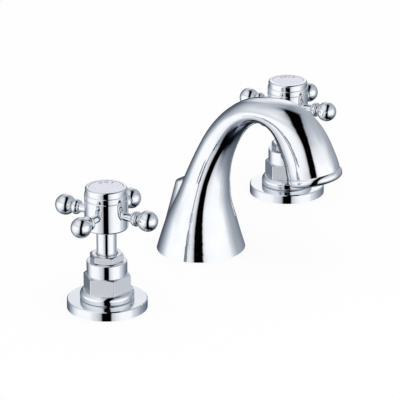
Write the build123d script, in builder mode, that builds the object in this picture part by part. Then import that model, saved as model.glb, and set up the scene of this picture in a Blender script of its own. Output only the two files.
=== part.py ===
from build123d import *

import os
from math import cos, radians, sin, tan

# Three-hole basin mixer: a hot and a cold side valve with cross handles, and a swan-neck spout.
# Millimetres. +Z is up, the deck's top is Z = 0 and the user stands at -Y.
# The origin is on the deck, in the middle of the spout's foot. The three holes lie along X.
# Threads are plain cylinders at their outer size.

os.makedirs("parts", exist_ok=True)

# ---------------------------------------------------------------- driving dimensions

# Layout on the deck
hole_pitch = 117.0            # spout axis to each valve axis
deck_thickness = 20.0         # slab clamped between the feet and the washers

# Clearances
thread_gap = 0.1              # radial, in a screwed pair
running_gap = 0.05            # radial, spindle and disc in their bores
free_gap = 0.3                # where pieces pass without touching

# Ceramic cartridge, from the discs outwards
disc_radius = 6.7
disc_thickness = 3.0
disc_port_radius = 1.7
disc_port_offset = 3.9        # disc axis to port axis
seal_thickness = 2.4
seal_width = 1.0
spindle_radius = 5.15
driver_height = 6.3           # foot of the spindle that turns the upper disc
driver_bar_width = 4.0
driver_bar_height = 5.0
driver_key_depth = 1.0        # how far the bar drops into the upper disc
barrel_wall = 1.2
barrel_window_width = 7.0
barrel_window_height = 4.5
cartridge_thread_wall = 2.45  # barrel to outside of thread
cartridge_thread_length = 20.5
cartridge_shoulder = 0.6      # how far the shoulder stands past the thread
cartridge_shoulder_height = 1.5
cartridge_hex_flats = 17.0
cartridge_hex_height = 4.0
cartridge_neck_wall = 2.8
oring_section = 0.8           # radius of its section
oring_height = 20.0           # above the deck
circlip_bearing = 0.9         # how far it lies on the cartridge's neck
circlip_groove_depth = 0.4
circlip_thickness = 0.8
circlip_opening = 70.0        # degrees

# Valve body
shank_wall = 2.5
shank_length = 62.0           # below the deck
water_bore_radius = 4.0
channel_radius = 1.9          # side channel that leads down to the outlet port
channel_offset = 9.0
port_radius = 4.6             # M10 x 1 hose thread
port_height = -54.0
port_depth = 5.5
tail_radius = 10.4            # G 1/2 inlet
tail_length = 13.0

# Flange and cover
flange_width = 11.7
flange_height = 6.0
flange_edge = 0.6
gasket_thickness = 1.5
gasket_width = 6.0
gasket_margin = 3.0           # flange or foot edge to gasket
cover_thread_length = 4.5
collar_wall = 3.8
collar_height = 6.0
collar_shoulder = 3.0         # rounding at the collar's top
collar_undercut = 1.2         # rounding at the collar's foot
cover_hex_wall = 1.75
cover_hex_height = 10.2
cover_hex_root = 0.5          # how far the hexagon reaches down into the collar's rounding
hex_chamfer_angle = 22.0
hex_chamfer_inset = 0.3       # chamfer circle inside the flats
hex_turn = 47.5               # degrees from X to a corner, both visible hexagons
hex_corner_edge = 0.5         # rounding of their upright corners
cover_wall = 1.3
cover_neck_height = 8.6
cover_neck_edge = 0.6
cover_top_thickness = 2.0

# Gland nut
gland_wall = 1.25
gland_height = 4.7
gland_thread_length = 2.8
gland_lip = 0.8
gland_countersink = 0.5

# Stem and handle
stem_gap = 16.6               # gland nut to hub
sleeve_bore_radius = 4.6
sleeve_wall = 1.65
sleeve_socket_depth = 2.2
spline_radius = 4.0
spline_depth = 0.5
spline_teeth = 20
spline_tooth_width = 0.6
spline_length = 7.4
hub_radius = 13.5
hub_height = 22.9
hub_edge = 1.3
hub_top_edge = 0.6
hub_line_height = 19.3        # fine turned line above the hub's foot
hub_line_depth = 0.3
hub_web = 2.0
hub_pocket_radius = 6.5
arm_height = 9.7              # hub's foot to arm axis
arm_thread_radius = 2.2
arm_thread_depth = 4.5
arm_neck_radius = 2.65
arm_bell_reach = 18.7         # valve axis to the bell's small end
arm_bell_radius = 3.3
arm_bead_reach = 21.7         # valve axis to the bell's widest point
arm_bead_radius = 4.75
arm_bead_edge = 1.2
arm_waist_radius = 3.0
ball_radius = 6.45
ball_reach = 29.4             # valve axis to ball
screw_radius = 2.4
screw_length = 10.0
screw_head_radius = 4.3
screw_head_height = 3.0
screw_slot_width = 1.0
screw_slot_depth = 1.2
cap_step = 0.5                # cap smaller than hub
cap_height = 4.0
cap_edge = 1.2
cap_rim = 2.1
cap_recess = 1.2
cap_floor = 1.5
cap_spigot_step = 2.0         # spigot smaller than cap
cap_spigot_length = 3.0
cap_spigot_wall = 1.5
index_thickness = 0.9
index_edge = 0.25

# Under-deck clamp of each valve and of the spout
rubber_washer_thickness = 3.0
metal_washer_thickness = 1.5
washer_width = 7.0
nut_wall = 4.0
nut_height = 8.0
nut_chamfer = 0.8

# Spout centreline: one curve up to the crown and one down to the mouth
crown_reach = 47.2
crown_height = 100.9
mouth_reach = 83.0
mouth_height = 60.1
mouth_tilt = 13.8             # degrees from straight down, towards the user
foot_pull = 65.5              # how long each curve keeps its end direction
crown_rear_pull = 24.1
crown_front_pull = 20.6
mouth_pull = 20.7

# Spout sections: share of the centreline, half width along X, half thickness across it
foot_half_width, foot_half_depth = 30.0, 28.2
skirt_share, skirt_half_width, skirt_half_depth = 0.13, 23.2, 21.1
hem_share, hem_half_width, hem_half_depth = 0.195, 19.2, 17.2
waist_share, waist_half_width, waist_half_depth = 0.26, 16.4, 14.6
throat_share, throat_half_width, throat_half_depth = 0.347, 12.8, 12.2
neck_share, neck_radius = 0.42, 11.0
rise_share, rise_half_width, rise_half_height = 0.557, 12.7, 8.8
crown_share, crown_half_width, crown_half_height = 0.672, 13.8, 7.9
fall_share, fall_half_width, fall_half_height = 0.764, 14.5, 12.1
bell_share, bell_half_width, bell_half_height = 0.834, 14.7, 15.6
swell_share, swell_radius = 0.903, 16.3
mouth_radius = 16.6
spout_wall = 3.0
spout_steps = 16              # sections drawn between foot and mouth
foot_part_steps = 0.25, 0.5   # two more sections hold the flare straight at the foot

# Spout mouth and aerator
bead_radius = 17.7
bead_height = 6.6
bead_edge = 3.0
aerator_radius = 11.9
aerator_length = 10.0
aerator_recess = 1.0
aerator_wall = 1.5
aerator_lip = 1.4
aerator_lip_height = 1.2
aerator_washer_height = 2.0
aerator_washer_width = 3.0
aerator_screen_thickness = 0.6
aerator_hole_radius = 0.75
aerator_hole_pitch = 2.4
aerator_hole_rows = 3
aerator_core_hole = 1.2
aerator_core_pitch = 6.5
aerator_core_holes = 12
aerator_notch_width = 2.5
aerator_notch_depth = 0.8

# Spout foot, shank and tee
spout_shank_radius = 8.3
spout_shank_length = 58.0     # below the deck
spout_shank_engagement = 16.0
spout_shank_bore = 5.5
spout_boss_wall = 4.1
foot_cavity_width = 6.0
foot_cavity_height = 16.0
foot_gasket_width = 4.5
foot_gasket_margin = 3.7
rod_offset = 13.6             # spout axis to rod hole, behind
rod_hole_radius = 2.3
rod_boss_wall = 1.6           # behind the hole
rod_boss_height = 44.9        # at the hole's axis
rod_boss_slope = 24.0         # degrees, rising towards the column
rod_boss_edge = 2.0
rod_boss_centre = 7.0         # spout axis to the middle of the boss
rod_boss_half_width = 7.5     # at the hole's height
rod_boss_foot = 2.4           # height at which the boss starts inside the flare
rod_boss_foot_centre = 4.0
rod_boss_foot_half_width = 24.0
rod_boss_foot_half_depth = 23.3
plug_recess = 0.9
plug_length = 7.0
tee_wall = 3.1
tee_socket_depth = 12.0
tee_height = 32.0
tee_arm_radius = 8.0
tee_arm_reach = 18.0
tee_port_depth = 9.0
tee_channel_radius = 3.5

# ---------------------------------------------------------------- derived sizes

# Radii of the valve, from the spindle outwards
cartridge_bore = spindle_radius + running_gap
neck_outer = cartridge_bore + cartridge_neck_wall
barrel_bore = disc_radius + running_gap
barrel_radius = barrel_bore + barrel_wall
cartridge_thread_radius = barrel_radius + cartridge_thread_wall
cartridge_shoulder_radius = cartridge_thread_radius + cartridge_shoulder
socket_radius = cartridge_thread_radius + thread_gap
shank_radius = socket_radius + shank_wall
flange_bore = shank_radius + free_gap
flange_radius = flange_bore + flange_width
cover_bore = cartridge_shoulder_radius + free_gap
cover_neck_radius = cover_bore + cover_wall
cover_hex_flats = 2 * (cover_bore + cover_hex_wall)
collar_radius = shank_radius + thread_gap + collar_wall
gland_bore = neck_outer + thread_gap
gland_flats = 2 * (gland_bore + gland_wall)
sleeve_radius = sleeve_bore_radius + sleeve_wall
spindle_top_radius = sleeve_bore_radius - free_gap
circlip_groove = spindle_top_radius - circlip_groove_depth

# Heights of the valve, from the deck upwards
shank_top = flange_height + cover_thread_length
collar_top = flange_height + collar_height
cover_hex_top = collar_top + cover_hex_height
cover_top = cover_hex_top + cover_neck_height
gland_top = cover_top + gland_height
neck_top = cover_top + gland_thread_length
circlip_foot = neck_top + thread_gap
circlip_top = circlip_foot + circlip_thickness
sleeve_foot = circlip_top + free_gap
hub_foot = gland_top + stem_gap
hub_top = hub_foot + hub_height
sleeve_top = hub_foot + sleeve_socket_depth
spindle_top = sleeve_top + spline_length
web_foot = spindle_top + free_gap
web_top = web_foot + hub_web
arm_axis_height = hub_foot + arm_height
cap_seat = hub_top
cap_top = hub_top + cap_height
index_seat = cap_top - cap_recess

# Heights of the cartridge, from its shoulder downwards
barrel_ceiling = shank_top - cartridge_thread_length
driver_top = barrel_ceiling - free_gap
driver_foot = driver_top - driver_height
upper_disc_foot = driver_foot - disc_thickness
lower_disc_foot = upper_disc_foot - disc_thickness
seat_height = lower_disc_foot - seal_thickness
barrel_foot = seat_height + free_gap

# Cap radii
cap_radius = hub_radius - cap_step
index_radius = cap_radius - cap_rim - thread_gap
cap_spigot_radius = cap_radius - cap_spigot_step

# Under-deck heights
rubber_washer_foot = -deck_thickness - rubber_washer_thickness
metal_washer_foot = rubber_washer_foot - metal_washer_thickness
nut_foot = metal_washer_foot - nut_height

# Spout foot
shank_socket = spout_shank_radius + thread_gap
spout_boss_radius = shank_socket + spout_boss_wall
rod_boss_half_depth = rod_offset + rod_hole_radius + rod_boss_wall - rod_boss_centre
aerator_socket = aerator_radius + thread_gap
aerator_depth = aerator_recess + aerator_length + aerator_washer_height

UP = (0, 0, 1)


def save(part, name):
    """Labels a finished piece and writes it as parts/<name>.step."""
    part.label = name
    export_step(part, f"parts/{name}.step")


def level(axis_x, height):
    """Horizontal sketch plane on a vertical axis at axis_x."""
    return Plane(origin=(axis_x, 0, height))


def upright(axis_x):
    """Plane for a turned profile: local x is the radius, local y the height."""
    return Plane(origin=(axis_x, 0, 0), x_dir=(1, 0, 0), z_dir=(0, -1, 0))


def turned(axis_x, *outline):
    """Solid of revolution about the vertical axis at axis_x, from (radius, height) points."""
    with BuildPart() as solid:
        with BuildSketch(upright(axis_x)):
            with BuildLine():
                Polyline(*outline, close=True)
            make_face()
        revolve(axis=Axis((axis_x, 0, 0), UP))
    return solid.part


def ring(axis_x, inner, outer, foot, top):
    """Plain ring between two heights."""
    with BuildPart() as solid:
        with BuildSketch(level(axis_x, foot)):
            Circle(outer)
            Circle(inner, mode=Mode.SUBTRACT)
        extrude(amount=top - foot)
    return solid.part


# ---------------------------------------------------------------- pieces under and on the deck


def flange(axis_x):
    """Polished disc on the deck, recessed below for its gasket."""
    gasket_outer = flange_radius - gasket_margin
    with BuildPart() as flange:
        with BuildSketch(level(axis_x, 0)):
            Circle(flange_radius)
            Circle(flange_bore, mode=Mode.SUBTRACT)
        extrude(amount=flange_height)
        rims = flange.edges().filter_by(GeomType.CIRCLE).group_by(SortBy.RADIUS)[-1]
        chamfer(rims.sort_by(Axis.Z)[-1], length=flange_edge)
        with BuildSketch(level(axis_x, 0)):
            Circle(gasket_outer)
            Circle(gasket_outer - gasket_width, mode=Mode.SUBTRACT)
        extrude(amount=gasket_thickness, mode=Mode.SUBTRACT)
    return flange.part


def flange_gasket(axis_x):
    """Flat ring that fills the flange's recess."""
    outer = flange_radius - gasket_margin - free_gap
    inner = flange_radius - gasket_margin - gasket_width + free_gap
    return ring(axis_x, inner, outer, 0, gasket_thickness)


def valve_body(axis_x):
    """Shank with the cartridge's socket, the inlet bore and a side channel to the hose port."""
    towards_spout = -1 if axis_x > 0 else 1
    with BuildPart() as body:
        with BuildSketch(level(axis_x, -shank_length)):
            Circle(shank_radius)
        extrude(amount=shank_length + shank_top)
        with BuildSketch(level(axis_x, -shank_length - tail_length)):
            Circle(tail_radius)
        extrude(amount=tail_length)
        chamfer(body.faces().sort_by(Axis.Z)[0].edges(), length=nut_chamfer)
        with BuildSketch(level(axis_x, seat_height)):
            Circle(socket_radius)
        extrude(amount=shank_top - seat_height, mode=Mode.SUBTRACT)
        with BuildSketch(level(axis_x, -shank_length - tail_length)):
            Circle(water_bore_radius)
        extrude(amount=shank_length + tail_length + shank_top, mode=Mode.SUBTRACT)
        with BuildSketch(level(axis_x, port_height)):
            with Locations((towards_spout * channel_offset, 0)):
                Circle(channel_radius)
        extrude(amount=seat_height - port_height, mode=Mode.SUBTRACT)
        port_mouth = (axis_x + towards_spout * shank_radius, 0, port_height)
        with BuildSketch(Plane(origin=port_mouth, z_dir=(-towards_spout, 0, 0))):
            Circle(port_radius)
        extrude(amount=port_depth, mode=Mode.SUBTRACT)
    return body.part


def under_washer(axis_x, shank, top, foot):
    """Ring round a shank below the deck."""
    return ring(axis_x, shank + free_gap, shank + free_gap + washer_width, foot, top)


def backnut(axis_x, bore):
    """Hexagon nut that pulls the washers up against the deck."""
    flats = 2 * (bore + nut_wall)
    envelope = turned(axis_x, *nut_envelope(flats, nut_foot, metal_washer_foot))
    with BuildPart() as nut:
        with BuildSketch(level(axis_x, nut_foot)):
            RegularPolygon(flats / 2, 6, major_radius=False)
        extrude(amount=nut_height)
        add(envelope, mode=Mode.INTERSECT)
        with BuildSketch(level(axis_x, nut_foot)):
            Circle(bore)
        extrude(amount=nut_height, mode=Mode.SUBTRACT)
    return nut.part


def nut_envelope(flats, foot, top):
    """Half outline that trims a hexagon's corners at both ends."""
    face = flats / 2 - hex_chamfer_inset
    corner = flats / 2 / cos(radians(30))
    drop = (corner - face) * tan(radians(hex_chamfer_angle))
    return ((0, foot), (face, foot), (corner, foot + drop), (corner, top - drop), (face, top), (0, top))


# ---------------------------------------------------------------- cover and gland nut


def cover(axis_x):
    """One turned piece: barrel collar, hexagon and plain neck, hollow round the cartridge."""
    hex_face = cover_hex_flats / 2
    hex_corner = hex_face / cos(radians(30))
    hex_crown = hex_face - hex_chamfer_inset
    drop = (hex_corner - hex_crown) * tan(radians(hex_chamfer_angle))
    hex_foot = collar_top - cover_hex_root
    envelope = turned(
        axis_x,
        (0, hex_foot),
        (hex_corner, hex_foot),
        (hex_corner, cover_hex_top - drop),
        (hex_crown, cover_hex_top),
        (0, cover_hex_top),
    )
    with BuildPart() as shell:
        with BuildSketch(level(axis_x, hex_foot)):
            hexagon = RegularPolygon(hex_face, 6, major_radius=False, rotation=hex_turn)
            fillet(hexagon.vertices(), radius=hex_corner_edge)
        extrude(amount=cover_hex_top - hex_foot)
        add(envelope, mode=Mode.INTERSECT)
        with BuildSketch(upright(axis_x)):
            with BuildLine():
                Polyline(
                    (collar_radius - collar_shoulder, collar_top),
                    (0, collar_top),
                    (0, flange_height),
                    (collar_radius - collar_undercut, flange_height),
                )
                TangentArc(
                    (collar_radius - collar_undercut, flange_height),
                    (collar_radius, flange_height + collar_undercut),
                    tangent=(1, 0),
                )
                Line((collar_radius, flange_height + collar_undercut), (collar_radius, collar_top - collar_shoulder))
                TangentArc(
                    (collar_radius, collar_top - collar_shoulder),
                    (collar_radius - collar_shoulder, collar_top),
                    tangent=(0, 1),
                )
            make_face()
        revolve(axis=Axis((axis_x, 0, 0), UP))
        with BuildSketch(level(axis_x, cover_hex_top)):
            Circle(cover_neck_radius)
        extrude(amount=cover_neck_height)
        fillet(shell.faces().sort_by(Axis.Z)[-1].edges(), radius=cover_neck_edge)
        with BuildSketch(level(axis_x, flange_height)):
            Circle(shank_radius + thread_gap)
        extrude(amount=cover_thread_length + free_gap, mode=Mode.SUBTRACT)
        with BuildSketch(level(axis_x, flange_height)):
            Circle(cover_bore)
        extrude(amount=cover_top - cover_top_thickness - flange_height, mode=Mode.SUBTRACT)
        with BuildSketch(level(axis_x, flange_height)):
            Circle(neck_outer + free_gap)
        extrude(amount=cover_top - flange_height, mode=Mode.SUBTRACT)
    return shell.part


def gland_nut(axis_x):
    """Small hexagon that clamps the cover; its lip closes round the stem sleeve."""
    envelope = turned(axis_x, *nut_envelope(gland_flats, cover_top, gland_top))
    with BuildPart() as nut:
        with BuildSketch(level(axis_x, cover_top)):
            hexagon = RegularPolygon(gland_flats / 2, 6, major_radius=False, rotation=hex_turn)
            fillet(hexagon.vertices(), radius=hex_corner_edge)
        extrude(amount=gland_height)
        add(envelope, mode=Mode.INTERSECT)
        with BuildSketch(level(axis_x, cover_top)):
            Circle(gland_bore)
        extrude(amount=gland_height - gland_lip, mode=Mode.SUBTRACT)
        with BuildSketch(level(axis_x, cover_top)):
            Circle(sleeve_radius + free_gap)
        extrude(amount=gland_height, mode=Mode.SUBTRACT)
        rims = nut.faces().sort_by(Axis.Z)[-1].edges().filter_by(GeomType.CIRCLE)
        chamfer(rims.group_by(SortBy.RADIUS)[0], length=gland_countersink)
    return nut.part


# ---------------------------------------------------------------- ceramic cartridge


def cartridge_body(axis_x):
    """Brass headwork: barrel with two windows, thread, shoulder, hexagon and neck."""
    shoulder_top = shank_top + cartridge_shoulder_height
    turning = turned(
        axis_x,
        (0, barrel_foot),
        (barrel_radius, barrel_foot),
        (barrel_radius, barrel_ceiling),
        (cartridge_thread_radius, barrel_ceiling),
        (cartridge_thread_radius, shank_top),
        (cartridge_shoulder_radius, shank_top),
        (cartridge_shoulder_radius, shoulder_top),
        (neck_outer, shoulder_top),
        (neck_outer, neck_top),
        (0, neck_top),
    )
    with BuildPart() as body:
        add(turning)
        with BuildSketch(level(axis_x, shoulder_top)):
            RegularPolygon(cartridge_hex_flats / 2, 6, major_radius=False)
        extrude(amount=cartridge_hex_height)
        with BuildSketch(level(axis_x, barrel_foot)):
            Circle(barrel_bore)
        extrude(amount=barrel_ceiling - barrel_foot, mode=Mode.SUBTRACT)
        with BuildSketch(level(axis_x, barrel_ceiling)):
            Circle(cartridge_bore)
        extrude(amount=neck_top - barrel_ceiling, mode=Mode.SUBTRACT)
        with BuildSketch(level(axis_x, driver_foot + driver_bar_height)):
            Rectangle(4 * barrel_radius, barrel_window_width)
        extrude(amount=-barrel_window_height, mode=Mode.SUBTRACT)
    return body.part


def seat_seal(axis_x):
    """Rubber ring pressed between the seat and the lower disc."""
    return ring(axis_x, disc_radius - seal_width, disc_radius, seat_height, lower_disc_foot)


def ceramic_disc(axis_x, foot, port_angle, keyed):
    """Ported disc; the upper one has a slot across its top for the spindle's bar."""
    with BuildPart() as disc:
        with BuildSketch(level(axis_x, foot)):
            Circle(disc_radius)
            with PolarLocations(disc_port_offset, 2, start_angle=port_angle):
                Circle(disc_port_radius, mode=Mode.SUBTRACT)
        extrude(amount=disc_thickness)
        if keyed:
            slot_depth = driver_key_depth + thread_gap
            with BuildSketch(level(axis_x, foot + disc_thickness - slot_depth)):
                Rectangle(driver_bar_width + 2 * thread_gap, 2 * disc_radius)
            extrude(amount=slot_depth, mode=Mode.SUBTRACT)
    return disc.part


def spline_profile(gap):
    """Round shaft with square teeth, drawn in the current sketch and grown by gap."""
    root = spline_radius - spline_depth
    Circle(root + gap)
    with PolarLocations(root, spline_teeth):
        Rectangle(2 * (spline_depth + gap), spline_tooth_width + 2 * gap)


def spindle(axis_x):
    """Driver foot, shaft with O-ring and circlip grooves, and a splined top."""
    driver_radius = disc_radius - thread_gap
    bar_top = driver_foot + driver_bar_height
    oring_groove = spindle_radius - 2 * oring_section
    spline_foot = sleeve_top - free_gap
    turning = turned(
        axis_x,
        (0, bar_top),
        (driver_radius, bar_top),
        (driver_radius, driver_top),
        (spindle_radius, driver_top),
        (spindle_radius, oring_height - oring_section),
        (oring_groove, oring_height - oring_section),
        (oring_groove, oring_height + oring_section),
        (spindle_radius, oring_height + oring_section),
        (spindle_radius, circlip_foot),
        (circlip_groove, circlip_foot),
        (circlip_groove, circlip_top),
        (spindle_top_radius, circlip_top),
        (spindle_top_radius, spline_foot),
        (0, spline_foot),
    )
    with BuildPart() as spindle:
        add(turning)
        with BuildSketch(level(axis_x, bar_top)):
            Circle(driver_radius)
            Rectangle(driver_bar_width, 2 * disc_radius, mode=Mode.INTERSECT)
        extrude(amount=-driver_bar_height - driver_key_depth)
        with BuildSketch(level(axis_x, spline_foot)):
            spline_profile(0)
        extrude(amount=spindle_top - spline_foot)
        with BuildSketch(level(axis_x, spindle_top)):
            Circle(screw_radius + thread_gap)
        extrude(amount=-screw_length, mode=Mode.SUBTRACT)
    return spindle.part


def spindle_oring(axis_x):
    """Rubber ring that fills the spindle's groove."""
    with BuildPart() as oring:
        with BuildSketch(upright(axis_x)):
            with Locations((spindle_radius - oring_section, oring_height)):
                Circle(oring_section)
        revolve(axis=Axis((axis_x, 0, 0), UP))
    return oring.part


def spindle_circlip(axis_x):
    """Open spring ring that rests on the cartridge's neck."""
    reach = 2 * (cartridge_bore + circlip_bearing)
    spread = reach * tan(radians(circlip_opening / 2))
    with BuildPart() as clip:
        with BuildSketch(level(axis_x, circlip_foot)):
            Circle(cartridge_bore + circlip_bearing)
            Circle(circlip_groove + running_gap, mode=Mode.SUBTRACT)
            with BuildLine():
                Polyline((0, 0), (reach, -spread), (reach, spread), close=True)
            make_face(mode=Mode.SUBTRACT)
        extrude(amount=circlip_thickness)
    return clip.part


# ---------------------------------------------------------------- handle


def stem_sleeve(axis_x):
    """Plain tube round the spindle, from the gland nut up into the hub."""
    return ring(axis_x, sleeve_bore_radius, sleeve_radius, sleeve_foot, sleeve_top)


def handle_hub(axis_x):
    """Drum with a splined socket, a screw pocket and four threaded holes for the arms."""
    pocket_top = hub_top - cap_spigot_length - thread_gap
    with BuildPart() as hub:
        with BuildSketch(level(axis_x, hub_foot)):
            Circle(hub_radius)
        extrude(amount=hub_height)
        fillet(hub.faces().sort_by(Axis.Z)[0].edges(), radius=hub_edge)
        fillet(hub.faces().sort_by(Axis.Z)[-1].edges(), radius=hub_top_edge)
        with BuildSketch(upright(axis_x)):
            with Locations((hub_radius, hub_foot + hub_line_height)):
                Rectangle(2 * hub_line_depth, 2 * hub_line_depth, rotation=45)
        revolve(axis=Axis((axis_x, 0, 0), UP), mode=Mode.SUBTRACT)
        with BuildSketch(level(axis_x, hub_foot)):
            Circle(sleeve_radius + running_gap)
        extrude(amount=sleeve_socket_depth, mode=Mode.SUBTRACT)
        with BuildSketch(level(axis_x, sleeve_top)):
            spline_profile(thread_gap)
        extrude(amount=web_foot - sleeve_top, mode=Mode.SUBTRACT)
        with BuildSketch(level(axis_x, web_foot)):
            Circle(screw_radius + free_gap)
        extrude(amount=hub_web, mode=Mode.SUBTRACT)
        with BuildSketch(level(axis_x, web_top)):
            Circle(hub_pocket_radius)
        extrude(amount=hub_top - web_top, mode=Mode.SUBTRACT)
        with BuildSketch(level(axis_x, pocket_top)):
            Circle(cap_spigot_radius + thread_gap)
        extrude(amount=hub_top - pocket_top, mode=Mode.SUBTRACT)
        for turn in range(4):
            with BuildSketch(arm_root(axis_x, turn)):
                Circle(arm_thread_radius + thread_gap)
            extrude(amount=-arm_thread_depth - thread_gap, mode=Mode.SUBTRACT)
    return hub.part


def arm_direction(turn):
    """Unit vector of one arm: the first points along +X, the others at right angles."""
    angle = radians(90 * turn)
    return Vector(cos(angle), sin(angle), 0)


def arm_root(axis_x, turn):
    """Plane across one arm where it leaves the hub's round side."""
    outward = arm_direction(turn)
    return Plane(origin=Vector(axis_x, 0, arm_axis_height) + outward * hub_radius, z_dir=outward)


def handle_arm(axis_x, turn):
    """One turned arm: threaded root, neck, bell-shaped bead, waist and ball."""
    outward = arm_direction(turn)
    centre = Vector(axis_x, 0, arm_axis_height)
    along = Plane(origin=centre, x_dir=outward, z_dir=outward.cross(Vector(UP)))
    bead_end = arm_bead_reach + arm_bead_edge
    bead_round = arm_bead_radius - arm_bead_edge
    ball_start = ball_reach - (ball_radius**2 - arm_waist_radius**2) ** 0.5
    with BuildPart() as arm:
        with BuildSketch(along):
            with BuildLine():
                Polyline(
                    (ball_reach + ball_radius, 0),
                    (0, 0),
                    (0, arm_neck_radius),
                    (arm_bell_reach, arm_neck_radius),
                    (arm_bell_reach, arm_bell_radius),
                )
                TangentArc((arm_bead_reach, arm_bead_radius), (arm_bell_reach, arm_bell_radius), tangent=(-1, 0))
                TangentArc((arm_bead_reach, arm_bead_radius), (bead_end, bead_round), tangent=(1, 0))
                Polyline((bead_end, bead_round), (bead_end, arm_waist_radius), (ball_start, arm_waist_radius))
                ThreePointArc(
                    (ball_start, arm_waist_radius),
                    (ball_reach, ball_radius),
                    (ball_reach + ball_radius, 0),
                )
            make_face()
        revolve(axis=Axis(centre, outward))
        with BuildSketch(level(axis_x, hub_foot)):
            Circle(hub_radius)
        extrude(amount=hub_height, mode=Mode.SUBTRACT)
        with BuildSketch(arm_root(axis_x, turn)):
            Circle(arm_thread_radius)
        extrude(amount=-arm_thread_depth)
    return arm.part


def handle_screw(axis_x):
    """Slotted screw through the hub's web into the spindle."""
    with BuildPart() as screw:
        with BuildSketch(level(axis_x, web_top)):
            Circle(screw_head_radius)
        extrude(amount=screw_head_height)
        with BuildSketch(level(axis_x, web_top)):
            Circle(screw_radius)
        extrude(amount=-screw_length)
        with BuildSketch(level(axis_x, web_top + screw_head_height)):
            Rectangle(2 * screw_head_radius, screw_slot_width)
        extrude(amount=-screw_slot_depth, mode=Mode.SUBTRACT)
    return screw.part


def cap_ring(axis_x):
    """Screwed cap: rim, recess for the index disc and a hollow threaded spigot."""
    with BuildPart() as cap:
        with BuildSketch(level(axis_x, cap_seat)):
            Circle(cap_radius)
        extrude(amount=cap_height)
        fillet(cap.faces().sort_by(Axis.Z)[-1].edges(), radius=cap_edge)
        with BuildSketch(level(axis_x, cap_seat)):
            Circle(cap_spigot_radius)
        extrude(amount=-cap_spigot_length)
        with BuildSketch(level(axis_x, index_seat)):
            Circle(index_radius + thread_gap)
        extrude(amount=cap_recess, mode=Mode.SUBTRACT)
        with BuildSketch(level(axis_x, cap_seat - cap_spigot_length)):
            Circle(cap_spigot_radius - cap_spigot_wall)
        extrude(amount=index_seat - cap_floor - cap_seat + cap_spigot_length, mode=Mode.SUBTRACT)
    return cap.part


def index_disc(axis_x):
    """Plain disc in the cap's recess."""
    with BuildPart() as disc:
        with BuildSketch(level(axis_x, index_seat)):
            Circle(index_radius)
        extrude(amount=index_thickness)
        fillet(disc.faces().sort_by(Axis.Z)[-1].edges(), radius=index_edge)
    return disc.part


# ---------------------------------------------------------------- spout

# Centreline in the YZ plane: straight up out of the foot, over the crown, down to the mouth
flow = Vector(0, -sin(radians(mouth_tilt)), -cos(radians(mouth_tilt)))
mouth_point = Vector(0, -mouth_reach, mouth_height)
crown_point = Vector(0, -crown_reach, crown_height)
with BuildLine() as centreline:
    Bezier(
        (0, 0, 0),
        (0, 0, foot_pull),
        crown_point + Vector(0, crown_rear_pull, 0),
        crown_point,
    )
    Bezier(
        crown_point,
        crown_point - Vector(0, crown_front_pull, 0),
        mouth_point - flow * mouth_pull,
        mouth_point,
    )
spine = centreline.wires()[0]
mouth = Plane(origin=mouth_point, x_dir=(1, 0, 0), z_dir=flow)

# Stations from foot to mouth: share of the centreline, half width, half thickness
mouth_share = 1 - bead_height / 2 / spine.length
spout_stations = (
    (0, foot_half_width, foot_half_depth),
    (skirt_share, skirt_half_width, skirt_half_depth),
    (hem_share, hem_half_width, hem_half_depth),
    (waist_share, waist_half_width, waist_half_depth),
    (throat_share, throat_half_width, throat_half_depth),
    (neck_share, neck_radius, neck_radius),
    (rise_share, rise_half_width, rise_half_height),
    (crown_share, crown_half_width, crown_half_height),
    (fall_share, fall_half_width, fall_half_height),
    (bell_share, bell_half_width, bell_half_height),
    (swell_share, swell_radius, swell_radius),
    (mouth_share, mouth_radius, mouth_radius),
)


def eased(share, column):
    """Half size at a share of the centreline, eased between the stations with no overshoot."""
    places = [station[0] for station in spout_stations]
    sizes = [station[column] for station in spout_stations]
    rises = [
        (sizes[k + 1] - sizes[k]) / (places[k + 1] - places[k])
        for k in range(len(places) - 1)
    ]
    slopes = [rises[0]]
    for before, after in zip(rises, rises[1:]):
        slopes.append(2 * before * after / (before + after) if before * after > 0 else 0)
    slopes.append(rises[-1])
    k = max(n for n in range(len(rises)) if n == 0 or places[n] <= share)
    span = places[k + 1] - places[k]
    t = (share - places[k]) / span
    return (
        sizes[k] * (1 + 2 * t) * (1 - t) ** 2
        + span * slopes[k] * t * (1 - t) ** 2
        + sizes[k + 1] * t**2 * (3 - 2 * t)
        + span * slopes[k + 1] * t**2 * (t - 1)
    )


def across(share):
    """Plane across the centreline at a share of its length."""
    return Plane(origin=spine @ share, x_dir=(1, 0, 0), z_dir=spine % share)


def spout_skin():
    """Outer form of the spout as one smooth loft through sections, closer together at the foot."""
    step = mouth_share / spout_steps
    with BuildPart() as skin:
        for n in (0, *foot_part_steps, *range(1, spout_steps + 1)):
            share = n * step
            with BuildSketch(across(share)):
                Ellipse(eased(share, 1), eased(share, 2))
        loft()
    return skin.part


def waterway():
    """Inner water space: widens from the shank to the waist, then one wall inside the skin."""
    socket_share = 1 - (aerator_depth - running_gap) / spine.length
    step = (socket_share - waist_share) / spout_steps
    with BuildPart() as water:
        with BuildSketch(across(spout_shank_engagement / spine.length)):
            Circle(spout_shank_bore)
        for n in range(spout_steps):
            share = waist_share + n * step
            with BuildSketch(across(share)):
                Ellipse(eased(share, 1) - spout_wall, eased(share, 2) - spout_wall)
        with BuildSketch(across(socket_share)):
            Circle(aerator_socket - aerator_washer_width)
        loft(ruled=True)
    return water.part


def rod_slope(recess):
    """Plane of the rod boss's sloping top, lowered along the hole by recess."""
    slope = radians(rod_boss_slope)
    return Plane(
        origin=(0, rod_offset, rod_boss_height - recess),
        x_dir=(1, 0, 0),
        z_dir=(0, sin(slope), cos(slope)),
    )


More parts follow.
